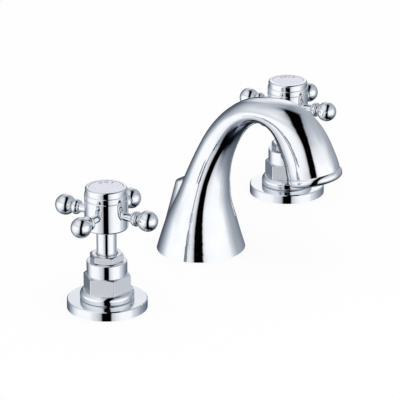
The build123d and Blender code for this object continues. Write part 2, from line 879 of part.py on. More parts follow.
def rod_cylinder(radius, foot, recess):
    """Upright cylinder on the rod hole's axis, cut off along the sloping plane."""
    with BuildPart() as cylinder:
        with BuildSketch(level(0, foot)):
            with Locations((0, rod_offset)):
                Circle(radius)
        extrude(amount=crown_height - foot)
        split(bisect_by=rod_slope(recess), keep=Keep.BOTTOM)
    return cylinder.part


def rod_boss():
    """Boss that grows straight up out of the flare and ends in a sloping, rounded top."""
    rise = rod_boss_height - rod_boss_foot
    top_share = (rise + rod_boss_half_depth) / rise
    with BuildPart() as boss:
        for share in (0, top_share):
            with BuildSketch(level(0, rod_boss_foot + share * rise)):
                with Locations((0, between(rod_boss_foot_centre, rod_boss_centre, share))):
                    Ellipse(
                        between(rod_boss_foot_half_width, rod_boss_half_width, share),
                        between(rod_boss_foot_half_depth, rod_boss_half_depth, share),
                    )
        loft(ruled=True)
        split(bisect_by=rod_slope(0), keep=Keep.BOTTOM)
        fillet(boss.faces().sort_by(Axis.Z)[-1].edges(), radius=rod_boss_edge)
    return boss.part


def between(start, end, share):
    """Value a share of the way from start to end."""
    return start + share * (end - start)


def bead():
    """Rounded ring round the mouth."""
    with BuildPart() as bead:
        with BuildSketch(mouth):
            Circle(bead_radius)
        extrude(amount=-bead_height)
        fillet(bead.edges().filter_by(GeomType.CIRCLE), radius=bead_edge)
    return bead.part


def spout_body():
    """Cast spout: flared foot, swan neck, bell mouth with its bead, and the rear rod boss."""
    skin = spout_skin()
    boss = rod_boss()
    rim = bead()
    water = waterway()
    gasket_outer = foot_half_depth - foot_gasket_margin
    with BuildPart() as body:
        add(skin)
        add(boss)
        add(rim)
        add(water, mode=Mode.SUBTRACT)
        with BuildSketch(level(0, 0)):
            Circle(shank_socket)
        extrude(amount=spout_shank_engagement, mode=Mode.SUBTRACT)
        with BuildSketch(level(0, 0)):
            Circle(spout_boss_radius + foot_cavity_width)
            Circle(spout_boss_radius, mode=Mode.SUBTRACT)
        extrude(amount=foot_cavity_height, mode=Mode.SUBTRACT)
        with BuildSketch(level(0, 0)):
            Circle(gasket_outer)
            Circle(gasket_outer - foot_gasket_width, mode=Mode.SUBTRACT)
        extrude(amount=gasket_thickness, mode=Mode.SUBTRACT)
        with BuildSketch(level(0, 0)):
            with Locations((0, rod_offset)):
                Circle(rod_hole_radius)
        extrude(amount=rod_boss_height + rod_boss_half_depth, mode=Mode.SUBTRACT)
        with BuildSketch(mouth):
            Circle(aerator_socket)
        extrude(amount=-aerator_depth, mode=Mode.SUBTRACT)
    return body.part


def rod_hole_plug():
    """Plug that closes the unused hole of the waste's lift rod."""
    foot = rod_boss_height - plug_recess - plug_length
    return rod_cylinder(rod_hole_radius - running_gap, foot, plug_recess)


def spout_gasket():
    """Flat ring in the foot's recess."""
    outer = foot_half_depth - foot_gasket_margin - free_gap
    inner = foot_half_depth - foot_gasket_margin - foot_gasket_width + free_gap
    return ring(0, inner, outer, 0, gasket_thickness)


def spout_shank():
    """Hollow threaded stud screwed into the foot."""
    return ring(0, spout_shank_bore, spout_shank_radius, -spout_shank_length, spout_shank_engagement)


def inlet_tee():
    """Tee under the shank: hot water enters from -X, cold from +X."""
    top = tee_socket_depth - spout_shank_length
    foot = top - tee_height
    arm_height = foot + tee_arm_radius + tee_wall
    sideways = Plane(origin=(-tee_arm_reach, 0, arm_height), z_dir=(1, 0, 0))
    with BuildPart() as tee:
        with BuildSketch(level(0, foot)):
            Circle(shank_socket + tee_wall)
        extrude(amount=tee_height)
        with BuildSketch(sideways):
            Circle(tee_arm_radius)
        extrude(amount=2 * tee_arm_reach)
        chamfer(tee.faces().sort_by(Axis.Z)[0].edges(), length=nut_chamfer)
        with BuildSketch(level(0, top)):
            Circle(shank_socket)
        extrude(amount=-tee_socket_depth, mode=Mode.SUBTRACT)
        with BuildSketch(level(0, arm_height)):
            Circle(tee_channel_radius)
        extrude(amount=top - arm_height, mode=Mode.SUBTRACT)
        with BuildSketch(sideways):
            Circle(tee_channel_radius)
        extrude(amount=2 * tee_arm_reach, mode=Mode.SUBTRACT)
        for end in (-1, 1):
            with BuildSketch(Plane(origin=(end * tee_arm_reach, 0, arm_height), z_dir=(-end, 0, 0))):
                Circle(port_radius)
            extrude(amount=tee_port_depth, mode=Mode.SUBTRACT)
    return tee.part


# ---------------------------------------------------------------- aerator, on the mouth's plane


def in_mouth(depth):
    """Plane across the mouth at a depth inside it; its normal points out with the water."""
    return mouth.offset(-depth)


def aerator_housing():
    """Threaded ring with a lip that carries the screen, and two notches for a key."""
    bore = aerator_radius - aerator_wall
    with BuildPart() as housing:
        with BuildSketch(in_mouth(aerator_recess)):
            Circle(aerator_radius)
            Circle(bore - aerator_lip, mode=Mode.SUBTRACT)
        extrude(amount=-aerator_length)
        with BuildSketch(in_mouth(aerator_recess + aerator_lip_height)):
            Circle(bore)
        extrude(amount=aerator_lip_height - aerator_length, mode=Mode.SUBTRACT)
        with BuildSketch(in_mouth(aerator_recess)):
            Rectangle(2 * aerator_radius, aerator_notch_width)
            Circle(bore, mode=Mode.SUBTRACT)
        extrude(amount=-aerator_notch_depth, mode=Mode.SUBTRACT)
    return housing.part


def aerator_screen():
    """Perforated steel disc on the housing's lip."""
    radius = aerator_radius - aerator_wall - thread_gap
    with BuildPart() as screen:
        with BuildSketch(in_mouth(aerator_recess + aerator_lip_height)):
            Circle(radius)
            for row in range(1, aerator_hole_rows + 1):
                with PolarLocations(row * aerator_hole_pitch, 6 * row):
                    Circle(aerator_hole_radius, mode=Mode.SUBTRACT)
        extrude(amount=-aerator_screen_thickness)
    return screen.part


def aerator_core():
    """Plastic insert that mixes air into the jet, over the screen."""
    radius = aerator_radius - aerator_wall - thread_gap
    foot = aerator_recess + aerator_lip_height + aerator_screen_thickness
    with BuildPart() as core:
        with BuildSketch(in_mouth(foot)):
            Circle(radius)
            with PolarLocations(aerator_core_pitch, aerator_core_holes):
                Circle(aerator_core_hole, mode=Mode.SUBTRACT)
        extrude(amount=foot - aerator_recess - aerator_length)
    return core.part


def aerator_washer():
    """Rubber ring between the housing and the socket's shoulder."""
    with BuildPart() as washer:
        with BuildSketch(in_mouth(aerator_recess + aerator_length)):
            Circle(aerator_radius)
            Circle(aerator_radius - aerator_washer_width, mode=Mode.SUBTRACT)
        extrude(amount=-aerator_washer_height)
    return washer.part


# ---------------------------------------------------------------- all pieces

for side, axis_x in (("hot", -hole_pitch), ("cold", hole_pitch)):
    save(flange(axis_x), f"{side}_flange")
    save(flange_gasket(axis_x), f"{side}_flange_gasket")
    save(valve_body(axis_x), f"{side}_valve_body")
    save(under_washer(axis_x, shank_radius, -deck_thickness, rubber_washer_foot), f"{side}_rubber_washer")
    save(under_washer(axis_x, shank_radius, rubber_washer_foot, metal_washer_foot), f"{side}_metal_washer")
    save(backnut(axis_x, shank_radius + thread_gap), f"{side}_backnut")
    save(cover(axis_x), f"{side}_cover")
    save(gland_nut(axis_x), f"{side}_gland_nut")
    save(cartridge_body(axis_x), f"{side}_cartridge_body")
    save(seat_seal(axis_x), f"{side}_seat_seal")
    save(ceramic_disc(axis_x, lower_disc_foot, 90, keyed=False), f"{side}_fixed_disc")
    save(ceramic_disc(axis_x, upper_disc_foot, 0, keyed=True), f"{side}_moving_disc")
    save(spindle(axis_x), f"{side}_spindle")
    save(spindle_oring(axis_x), f"{side}_spindle_oring")
    save(spindle_circlip(axis_x), f"{side}_spindle_circlip")
    save(stem_sleeve(axis_x), f"{side}_stem_sleeve")
    save(handle_hub(axis_x), f"{side}_handle_hub")
    for turn in range(4):
        save(handle_arm(axis_x, turn), f"{side}_handle_arm_{turn + 1}")
    save(handle_screw(axis_x), f"{side}_handle_screw")
    save(cap_ring(axis_x), f"{side}_cap_ring")
    save(index_disc(axis_x), f"{side}_index_disc")

save(spout_body(), "spout_body")
save(rod_hole_plug(), "rod_hole_plug")
save(spout_gasket(), "spout_gasket")
save(spout_shank(), "spout_shank")
save(under_washer(0, spout_shank_radius, -deck_thickness, rubber_washer_foot), "spout_rubber_washer")
save(under_washer(0, spout_shank_radius, rubber_washer_foot, metal_washer_foot), "spout_metal_washer")
save(backnut(0, shank_socket), "spout_backnut")
save(inlet_tee(), "inlet_tee")
save(aerator_housing(), "aerator_housing")
save(aerator_washer(), "aerator_washer")
save(aerator_core(), "aerator_core")
save(aerator_screen(), "aerator_screen")
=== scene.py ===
import bpy
import bmesh
import math
from mathutils import Matrix, Vector


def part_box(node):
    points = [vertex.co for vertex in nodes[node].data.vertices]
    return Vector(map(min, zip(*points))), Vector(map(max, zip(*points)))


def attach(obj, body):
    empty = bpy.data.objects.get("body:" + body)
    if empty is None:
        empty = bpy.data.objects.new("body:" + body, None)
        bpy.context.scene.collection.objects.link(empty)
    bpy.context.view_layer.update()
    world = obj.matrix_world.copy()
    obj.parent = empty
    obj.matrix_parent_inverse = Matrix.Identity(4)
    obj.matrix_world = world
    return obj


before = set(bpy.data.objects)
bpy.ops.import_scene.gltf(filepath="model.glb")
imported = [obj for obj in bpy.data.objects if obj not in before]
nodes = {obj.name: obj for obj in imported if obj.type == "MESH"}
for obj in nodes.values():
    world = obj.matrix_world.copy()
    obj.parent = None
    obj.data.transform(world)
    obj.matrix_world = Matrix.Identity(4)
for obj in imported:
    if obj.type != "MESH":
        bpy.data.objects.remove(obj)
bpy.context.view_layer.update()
scene = bpy.context.scene
scene.view_settings.view_transform = "Standard"


# Camera. A long lens stands to the left of the basin's front, a little above the
# handles, so that the two side valves and the spout stand free of each other.
right_hand_azimuth = math.radians(-60.29)       # where the picture's right side points
camera_elevation = math.radians(20.67)
camera_distance = 2.146
aim_right = -0.00068                            # what it aims at, from the spout's foot
aim_up = 0.02972
sensor_width = 36.0                             # millimetres
focal_length = 8.2875 * sensor_width

view_right = Vector((math.cos(right_hand_azimuth), math.sin(right_hand_azimuth), 0.0))
view_back = Vector((math.sin(right_hand_azimuth) * math.cos(camera_elevation),
                    -math.cos(right_hand_azimuth) * math.cos(camera_elevation),
                    math.sin(camera_elevation)))
view_up = view_back.cross(view_right)
lens_place = aim_right * view_right + aim_up * view_up + camera_distance * view_back
camera_data = bpy.data.cameras.new("camera")
camera_data.sensor_width = sensor_width
camera_data.lens = focal_length
camera_data.clip_start = 0.1
camera_data.clip_end = 50.0
camera = bpy.data.objects.new("camera", camera_data)
scene.collection.objects.link(camera)
camera.matrix_world = (Matrix.Translation(lens_place)
                       @ Matrix((view_right, view_up, view_back)).transposed().to_4x4())
scene.camera = camera


# Studio. A white cloth tent lights the chrome from both sides. The slot that the lens
# looks through is a dark upright strip, which every upright rod and drum mirrors.
def add_node(tree, kind, links=(), **settings):
    """Adds a node with its settings; an input takes a value, or the socket that feeds it."""
    node = tree.nodes.new(kind)
    for name, value in settings.items():
        setattr(node, name, value)
    for name, value in links:
        if isinstance(value, bpy.types.NodeSocket):
            tree.links.new(value, node.inputs[name])
        else:
            node.inputs[name].default_value = value
    return node


def maths(tree, operation, *values):
    """One sum over two or three values or sockets."""
    return add_node(tree, "ShaderNodeMath", enumerate(values), operation=operation).outputs[0]


def carried(tree, feed, feed_span, span):
    """Value carried over from one span to another, and held at the ends."""
    return add_node(tree, "ShaderNodeMapRange", [
        ("Value", feed), ("From Min", feed_span[0]), ("From Max", feed_span[1]),
        ("To Min", span[0]), ("To Max", span[1])]).outputs["Result"]


def stepped(tree, feed, stops):
    """Colour ramp through (place, colour) stops."""
    ramp = add_node(tree, "ShaderNodeValToRGB", [("Fac", feed)])
    elements = ramp.color_ramp.elements
    while len(elements) > 1:
        elements.remove(elements[-1])
    for k, (place, colour) in enumerate(stops):
        stop = elements[0] if k == 0 else elements.new(place)
        stop.position = place
        stop.color = colour
    return ramp.outputs["Color"]


def blended(tree, share, first, second, blend="MIX"):
    """Two colours put together."""
    return add_node(tree, "ShaderNodeMix", [("Factor", share), (6, first), (7, second)],
                    data_type="RGBA", blend_type=blend).outputs[2]


def chosen(tree, share, first, second):
    """Two shaders put together."""
    return add_node(tree, "ShaderNodeMixShader", [(0, share), (1, first), (2, second)]).outputs[0]


world = bpy.data.worlds.new("studio")
scene.world = world
world.use_nodes = True
air = world.node_tree
air.nodes.clear()
# The sky is turned so that X points at the lens and Y to the picture's right.
direction = add_node(air, "ShaderNodeTexCoord").outputs["Generated"]
towards_lens = math.pi / 2.0 - right_hand_azimuth
turned = add_node(air, "ShaderNodeMapping", [
    ("Vector", direction), ("Rotation", (0.0, 0.0, towards_lens))],
    vector_type="POINT").outputs["Vector"]
around = add_node(air, "ShaderNodeTexGradient", [("Vector", turned)],
                  gradient_type="RADIAL").outputs["Fac"]
sky = add_node(air, "ShaderNodeSeparateXYZ", [("Vector", turned)]).outputs

# Rings of the tent: elevation in degrees, then pairs of turn and brightness. The turn is
# in degrees to the right of the lens, and the two ends of a ring meet behind the part.
tent_rings = (
    (-76.0, (
        (-180, 0.1), (-120, 0.15), (-80, 0.28), (-50, 0.36), (-38, 0.28), (-20, 0.06),
        (-5, 0.004), (80, 0.03), (98, 0.13), (130, 0.28), (150, 0.22), (165, 0.08), (180, 0.1))),
    (-69.0, (
        (-180, 0.02), (-120, 0.25), (-60, 0.33), (-38, 0.26), (-20, 0.06), (-5, 0.003),
        (110, 0.003), (128, 0.02), (140, 0.12), (152, 0.27), (162, 0.2), (172, 0.03),
        (180, 0.02))),
    (-60.0, (
        (-180, 0.01), (-120, 0.35), (-60, 0.42), (-38, 0.28), (-22, 0.06), (-12, 0.002),
        (60, 0.002), (90, 0.004), (104, 0.012), (125, 0.012), (150, 0.03), (165, 0.01),
        (180, 0.01))),
    (-52.0, (
        (-180, 0.02), (-120, 0.5), (-98, 0.68), (-60, 0.5), (-38, 0.3), (-22, 0.06), (-12, 0.002),
        (24, 0.002), (40, 0.05), (55, 0.13), (70, 0.17), (100, 0.13), (120, 0.08), (140, 0.01),
        (180, 0.01))),
    (-36.0, (
        (-180, 0.05), (-150, 0.12), (-115, 0.52), (-95, 0.65), (-60, 0.85), (-38, 0.78),
        (-20, 0.6), (20, 0.5), (40, 0.37), (60, 0.38), (80, 0.34), (100, 0.24), (120, 0.18),
        (150, 0.12), (180, 0.05))),
    (-22.0, (
        (-180, 0.03), (-150, 0.1), (-132, 0.26), (-116, 0.55), (-105, 0.8), (-90, 0.96),
        (-50, 0.95), (-38, 0.8), (-25, 0.72), (20, 0.7), (30, 0.85), (45, 0.97), (72, 0.96),
        (80, 0.75), (95, 0.58), (112, 0.36), (130, 0.24), (150, 0.15), (180, 0.03))),
    (3.0, (
        (-180, 0.05), (-150, 0.13), (-135, 0.25), (-120, 0.45), (-108, 0.75), (-97, 0.97),
        (-40, 1.0), (-25, 0.95), (25, 0.95), (40, 1.0), (85, 1.0), (97, 0.66), (112, 0.4),
        (150, 0.38), (165, 0.5), (173, 0.88), (180, 0.3))),
    (15.0, (
        (-180, 0.8), (-172, 0.55), (-163, 0.12), (-143, 0.21), (-128, 0.36), (-105, 0.55),
        (-88, 0.8), (-70, 1.0), (-30, 1.0), (-20, 0.95), (25, 0.95), (40, 0.97), (75, 0.96),
        (88, 0.8), (102, 0.6), (115, 0.43), (150, 0.39), (163, 0.42), (170, 0.95), (180, 0.95))),
    (28.0, (
        (-180, 0.84), (-170, 0.8), (-162, 0.3), (-140, 0.37), (-115, 0.5), (-90, 0.64),
        (-60, 0.68), (-40, 0.75), (-25, 0.82), (25, 0.55), (40, 0.66), (65, 0.74), (80, 0.56),
        (110, 0.47), (150, 0.43), (164, 0.44), (170, 0.84), (180, 0.84))),
    (50.0, (
        (-180, 0.42), (-150, 0.56), (-100, 0.75), (-70, 0.82), (-45, 0.92), (-10, 0.8),
        (20, 0.45), (45, 0.47), (70, 0.51), (110, 0.45), (140, 0.37), (160, 0.27), (180, 0.42))),
    (72.0, (
        (-180, 0.42), (-140, 0.62), (-70, 0.82), (-30, 0.74), (0, 0.5), (25, 0.3), (60, 0.28),
        (90, 0.32), (120, 0.3), (150, 0.22), (180, 0.42))),
)
cloth_red, cloth_green, cloth_blue = 1.1, 1.01, 0.9       # shaded cloth turns a little blue


def tent_ring(greys):
    """One ring of the tent as colours round the lens."""
    return stepped(air, around, [
        (0.5 + turn / 360.0, (grey ** cloth_red, grey ** cloth_green, grey ** cloth_blue, 1.0))
        for turn, grey in greys])


tent = tent_ring(tent_rings[0][1])
for (low_rise, _), (high_rise, greys) in zip(tent_rings, tent_rings[1:]):
    sines = [math.sin(math.radians(rise)) for rise in (low_rise, high_rise)]
    share = carried(air, sky["Z"], sines, (0.0, 1.0))
    tent = blended(air, share, tent, tent_ring(greys))

# The slot. Its middle lies a hair beside the lens and leans over as it rises, and its edges
# are soft: brightness across it, from left to right, over the sine of the turn.
slot_turn = math.tan(math.radians(-0.6))
slot_lean = 0.24
slot_stops = (
    (-0.80, 1.0), (-0.62, 0.97), (-0.45, 0.90), (-0.33, 0.76), (-0.25, 0.52), (-0.21, 0.10),
    (-0.185, 0.0), (0.18, 0.0), (0.205, 0.12), (0.235, 0.66), (0.29, 0.90), (0.42, 1.0))
slot_back = (-0.45, -0.25)          # it fades out behind the part
slot_bottom = (-0.93, -0.87)        # and straight below it
forward = maths(air, "MULTIPLY", sky["X"], slot_turn)
rising = maths(air, "MAXIMUM", sky["Z"], 0.0)
lean = maths(air, "POWER", rising, 2.0)
middle = maths(air, "MULTIPLY_ADD", lean, slot_lean, forward)
beside = maths(air, "SUBTRACT", sky["Y"], middle)
across_slot = maths(air, "MULTIPLY_ADD", beside, 0.5, 0.5)
slot_light = stepped(air, across_slot, [
    (0.5 + 0.5 * turn, (grey, grey, grey, 1.0)) for turn, grey in slot_stops])
behind = carried(air, sky["X"], slot_back, (1.0, 0.0))
below = carried(air, sky["Z"], slot_bottom, (1.0, 0.0))
ends = maths(air, "MAXIMUM", below, behind)
slot_dark = maths(air, "MAXIMUM", slot_light, ends)
tent = blended(air, 1.0, tent, slot_dark, "MULTIPLY")

# Mirrored light is the tent, matt surfaces get even light, and the lens sees white paper.
tent_strength, even_strength, paper_strength = 1.19, 0.8, 1.0
white = (1.0, 1.0, 1.0, 1.0)
tent_light, even_light, white_paper = [
    add_node(air, "ShaderNodeBackground", [("Color", colour), ("Strength", strength)]).outputs[0]
    for colour, strength in (
        (tent, tent_strength), (white, even_strength), (white, paper_strength))]
ray = add_node(air, "ShaderNodeLightPath").outputs
lit = chosen(air, ray["Is Glossy Ray"], even_light, tent_light)
seen = chosen(air, ray["Is Camera Ray"], lit, white_paper)
add_node(air, "ShaderNodeOutputWorld", [("Surface", seen)])

lamp_place = Vector((-0.3, -0.5, 1.4))
lamp_data = bpy.data.lights.new("overhead_softbox", "AREA")
lamp_data.shape = "SQUARE"
lamp_data.size = 1.2
lamp_data.energy = 6.0
lamp = bpy.data.objects.new("overhead_softbox", lamp_data)
lamp.location = lamp_place
lamp.rotation_mode = "QUATERNION"
lamp.rotation_quaternion = (-lamp_place).to_track_quat("-Z", "Y")
lamp.visible_glossy = False
scene.collection.objects.link(lamp)


# Deck. White paper stands in for the basin's deck. It shines a little by itself, so that
# it stays white, and the chrome mirrors the tent through it.
floor_drop = 0.0002
floor_half = 6.0
floor_glow = 0.88                   # share of its own light in what the lens sees
hanging_depth = 0.001               # a piece that reaches deeper hangs below the deck
floor_mesh = bpy.data.meshes.new("deck")
paper_grid = bmesh.new()
bmesh.ops.create_grid(paper_grid, x_segments=1, y_segments=1, size=floor_half)
paper_grid.to_mesh(floor_mesh)
paper_grid.free()
floor = bpy.data.objects.new("deck", floor_mesh)
floor.location = (0.0, 0.0, -floor_drop)
scene.collection.objects.link(floor)
paper_floor = bpy.data.materials.new("white_paper_floor")
paper_floor.use_nodes = True
paper = paper_floor.node_tree
paper.nodes.clear()
paper_white = (0.97, 0.97, 0.97, 1.0)
matt = add_node(paper, "ShaderNodeBsdfDiffuse", [("Color", paper_white)]).outputs[0]
glow = add_node(paper, "ShaderNodeEmission", [("Color", white), ("Strength", 1.0)]).outputs[0]
clear = add_node(paper, "ShaderNodeBsdfTransparent").outputs[0]
paper_ray = add_node(paper, "ShaderNodeLightPath").outputs
pale = chosen(paper, floor_glow, matt, glow)
held = chosen(paper, paper_ray["Is Camera Ray"], matt, pale)
mirrored = chosen(paper, paper_ray["Is Glossy Ray"], held, clear)
add_node(paper, "ShaderNodeOutputMaterial", [("Surface", mirrored)])
floor_mesh.materials.append(paper_floor)
for name, piece in nodes.items():
    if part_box(name)[0].z < -hanging_depth:
        piece.visible_glossy = False            # the chrome above doesn't mirror it


# Valve bodies and spout shank. Each is turned from brass bar and left bare, because the
# basin hides it. The lathe leaves fine rings, and the outside is cut with a pipe thread.
sides = ("hot", "cold")
valve_reach = 0.117
pattern_span = (0.3, 0.7)           # nearly all of a noise pattern's values lie in here
line_stretch = 0.04                 # squeezes noise along one axis, which draws it into lines


def linear(colour):
    """An sRGB hex colour as the linear colour a shader takes."""
    parts = [int(colour[k:k + 2], 16) / 255.0 for k in (1, 3, 5)]
    return tuple(p / 12.92 if p <= 0.04045 else ((p + 0.055) / 1.055) ** 2.4
                 for p in parts) + (1.0,)


def new_finish(name):
    """Empty material, its node tree and the Object coordinates its patterns read."""
    finish = bpy.data.materials.new(name)
    finish.use_nodes = True
    finish.node_tree.nodes.clear()
    place = add_node(finish.node_tree, "ShaderNodeTexCoord").outputs["Object"]
    return finish, finish.node_tree, place


def noise(tree, place, size, detail, roughness=0.5):
    """Cloudy pattern with lumps of about the given size."""
    return add_node(tree, "ShaderNodeTexNoise", [
        ("Vector", place), ("Scale", 1.0 / size), ("Detail", detail),
        ("Roughness", roughness)]).outputs["Fac"]


def lined(tree, place, size, squeeze):
    """Noise drawn out into lines, the given size apart."""
    along = add_node(tree, "ShaderNodeMapping", [
        ("Vector", place), ("Scale", squeeze)]).outputs["Vector"]
    return noise(tree, along, size, 3.0)


def toned(tree, feed, *tones):
    """Colour that follows a pattern through pairs of place and hex colour."""
    return stepped(tree, feed, [(place, linear(colour)) for place, colour in tones])


def varied(tree, feed, low, high):
    """Roughness that follows a pattern between two limits."""
    return carried(tree, feed, pattern_span, (low, high))


def raised(tree, height, strength, depth, *under):
    """Normal of a surface whose pattern stands up by the depth; it may lie on another."""
    return add_node(tree, "ShaderNodeBump", [
        ("Height", height), ("Strength", strength), ("Distance", depth),
        *[("Normal", normal) for normal in under]]).outputs["Normal"]


def surfaced(tree, *links):
    """Ends a finish with a surface shader that takes the given inputs."""
    shade = add_node(tree, "ShaderNodeBsdfPrincipled", links).outputs[0]
    add_node(tree, "ShaderNodeOutputMaterial", [("Surface", shade)])


def dress(finish, *parts):
    """Gives the named CAD pieces a finish on every slot."""
    for part in parts:
        for slot in nodes[part].material_slots:
            slot.material = finish


# Turned brass: a warm yellow metal, satin from the tool, with duller, browner patches where
# hands and flux touched it. The tool rings are drawn 0.8 mm apart, coarser than a real feed.
turned_brass, tree, place = new_finish("turned_brass")
tarnish_patch = 0.009
tool_ring_pitch = 0.0008
wave_at_scale_one = 2.0 * math.pi / 20.0        # length of one of the wave texture's waves
tarnish = noise(tree, place, tarnish_patch, 4.0, 0.6)
metal = toned(tree, tarnish, (0.35, "#D2AC66"), (0.55, "#C49A52"), (0.72, "#A67C3F"))
satin = varied(tree, tarnish, 0.22, 0.42)
rings = add_node(tree, "ShaderNodeTexWave", [
    ("Vector", place), ("Scale", wave_at_scale_one / tool_ring_pitch),
    ("Distortion", 0.4), ("Detail", 1.0)],
    wave_type="BANDS", bands_direction="Z").outputs["Fac"]
cut = raised(tree, rings, 0.35, 0.00006)
surfaced(tree, ("Base Color", metal), ("Metallic", 1.0), ("Roughness", satin), ("Normal", cut))
for side in sides:
    dress(turned_brass, f"{side}_valve_body", f"{side}_cartridge_body", f"{side}_spindle",
          f"{side}_backnut")
dress(turned_brass, "spout_shank", "spout_backnut", "inlet_tee")


# Pipe thread on the bare brass. One ridge winds up each shank at the pitch of its thread,
# and the washers and nuts run on it. It is cut in the bar, so it is the same brass.
ridge_sink, ridge_depth, ridge_width = 0.1, 0.32, 0.8       # shares of the pitch
steps_round = 48


def thread_ridge(name, centre, radius, foot, top, pitch, body):
    """Helical ridge of triangular section round an upright shank."""
    bm = bmesh.new()
    inner = centre + radius - ridge_sink * pitch
    outer = centre + radius + ridge_depth * pitch
    low = bm.verts.new((inner, 0.0, foot))
    crest = bm.verts.new((outer, 0.0, foot + 0.5 * ridge_width * pitch))
    high = bm.verts.new((inner, 0.0, foot + ridge_width * pitch))
    profile = [bm.edges.new(ends) for ends in ((low, crest), (crest, high), (high, low))]
    steps = round(((top - foot) / pitch - 1.0) * steps_round)
    bmesh.ops.spin(
        bm, geom=[low, crest, high] + profile, cent=(centre, 0.0, 0.0), axis=(0.0, 0.0, 1.0),
        dvec=(0.0, 0.0, pitch / steps_round), angle=2.0 * math.pi * steps / steps_round,
        steps=steps, use_merge=False)
    open_edges = [edge for edge in bm.edges if edge.is_boundary]
    bmesh.ops.holes_fill(bm, edges=open_edges, sides=3)
    bmesh.ops.recalc_face_normals(bm, faces=bm.faces)
    mesh = bpy.data.meshes.new(name)
    bm.to_mesh(mesh)
    bm.free()
    ridge = bpy.data.objects.new(name, mesh)
    scene.collection.objects.link(ridge)
    ridge.data.materials.append(turned_brass)
    ridge.visible_glossy = False
    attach(ridge, body)


valve_places = (("hot", -valve_reach), ("cold", valve_reach))
valve_pitch, spout_pitch = 0.0018, 0.0015
shank_radius, tail_radius, spout_radius = 0.0130, 0.0104, 0.0083
shank_span, tail_span = (-0.0475, -0.0022), (-0.0742, -0.0625)      # foot and top
spout_span = (-0.0455, -0.0015)
for side, reach in valve_places:
    thread_ridge(f"{side}_shank_thread", reach, shank_radius, *shank_span, valve_pitch, "root")
    thread_ridge(f"{side}_tail_thread", reach, tail_radius, *tail_span, valve_pitch, "root")
thread_ridge("spout_shank_thread", 0.0, spout_radius, *spout_span, spout_pitch, "root")


# Washers and seals under the deck and inside the valves. They are punched or moulded from
# black rubber, which stays matt, with a grey bloom where it has lain on the shelf.
moulded_rubber, tree, place = new_finish("moulded_black_rubber")
bloom_patch = 0.006
rubber_grain = 0.0006
bloom = noise(tree, place, bloom_patch, 3.0)
skin = toned(tree, bloom, (0.40, "#141415"), (0.62, "#232426"), (0.75, "#313235"))
dull = varied(tree, bloom, 0.52, 0.78)
pimples = raised(tree, noise(tree, place, rubber_grain, 2.0), 0.4, 0.00008)
surfaced(tree, ("Base Color", skin), ("Roughness", dull), ("Normal", pimples))
for side in sides:
    dress(moulded_rubber, f"{side}_flange_gasket", f"{side}_rubber_washer",
          f"{side}_seat_seal", f"{side}_spindle_oring")
dress(moulded_rubber, "spout_gasket", "spout_rubber_washer", "aerator_washer")

# Rolled stainless steel: grey and satin, with straight roller lines along X, drawn 0.7 mm
# apart. It isn't polished after it is punched.
rolled_steel, tree, place = new_finish("rolled_stainless_steel")
roller_line = 0.0007
lines = lined(tree, place, roller_line, (line_stretch, 1.0, 1.0))
metal = toned(tree, lines, (0.35, "#BFC1C2"), (0.65, "#D4D5D4"))
satin = varied(tree, lines, 0.22, 0.38)
brushed = raised(tree, lines, 0.25, 0.00004)
surfaced(tree, ("Base Color", metal), ("Metallic", 1.0), ("Roughness", satin),
         ("Normal", brushed))
for side in sides:
    dress(rolled_steel, f"{side}_metal_washer", f"{side}_spindle_circlip",
          f"{side}_handle_screw")
dress(rolled_steel, "spout_metal_washer", "aerator_screen")


# Ceramic discs inside each cartridge. Two flat discs of fired alumina are lapped to a
# near mirror and slide on each other, so they are ivory white with a soft gloss.
lapped_ceramic, tree, place = new_finish("lapped_alumina_ceramic")
ceramic_cloud = 0.002
cloud = noise(tree, place, ceramic_cloud, 3.0)
body_colour = toned(tree, cloud, (0.35, "#F1EDE3"), (0.65, "#E6DFD0"))
gloss = varied(tree, cloud, 0.14, 0.26)
surfaced(tree, ("Base Color", body_colour), ("Roughness", gloss))
for side in sides:
    dress(lapped_ceramic, f"{side}_moving_disc", f"{side}_fixed_disc")


# Flange, cover and gland nut of each valve. They are turned or forged brass, polished and
# chromium plated, and screw down over the cartridge onto the deck.
buffing_wave = 0.014


def buffed(tree, place):
    """Colour, roughness and normal of chromium plate off the buffing wheel."""
    wave = noise(tree, place, buffing_wave, 2.0)
    plate = toned(tree, wave, (0.35, "#E7E9EE"), (0.65, "#ECEEF1"))
    return plate, varied(tree, wave, 0.022, 0.045), raised(tree, wave, 0.3, 0.00008)


# Chromium plate over polished brass: a bright, slightly blue mirror. The buffing wheel leaves
# a faint wave, about 14 mm long, and a haze that comes and goes.
chrome_plate, tree, place = new_finish("chrome_plate_on_brass")
plate, haze, ripple = buffed(tree, place)
surfaced(tree, ("Base Color", plate), ("Metallic", 1.0), ("Roughness", haze),
         ("Normal", ripple))
for side in sides:
    dress(chrome_plate, f"{side}_flange")

# The same plate on the cover and the gland nut. Their wrench flats were milled and not buffed,
# so they look paler and softer than the round parts, with fine lines along them, drawn 0.5 mm
# apart.
milled_plate, tree, place = new_finish("chrome_plate_with_milled_flats")
mill_line = 0.0005
milled_haze = 0.2                   # how much rougher the flats are
flats = ((0.01205, 0.02225), (0.03065, 0.0400))     # heights of the two bands of flats
flats_reach = 0.05                  # height that the bands are drawn over
flats_edge = 0.00005
rise = add_node(tree, "ShaderNodeSeparateXYZ", [("Vector", place)]).outputs["Z"]
share = maths(tree, "DIVIDE", rise, flats_reach)
band_stops = [(0.0, (0.0, 0.0, 0.0, 1.0))]
for foot, top in flats:
    for height, grey in ((foot - flats_edge, 0.0), (foot, 1.0), (top, 1.0),
                         (top + flats_edge, 0.0)):
        band_stops.append((height / flats_reach, (grey, grey, grey, 1.0)))
milled = stepped(tree, share, band_stops)
plate, haze, ripple = buffed(tree, place)
dulled = maths(tree, "MULTIPLY_ADD", milled, milled_haze, haze)
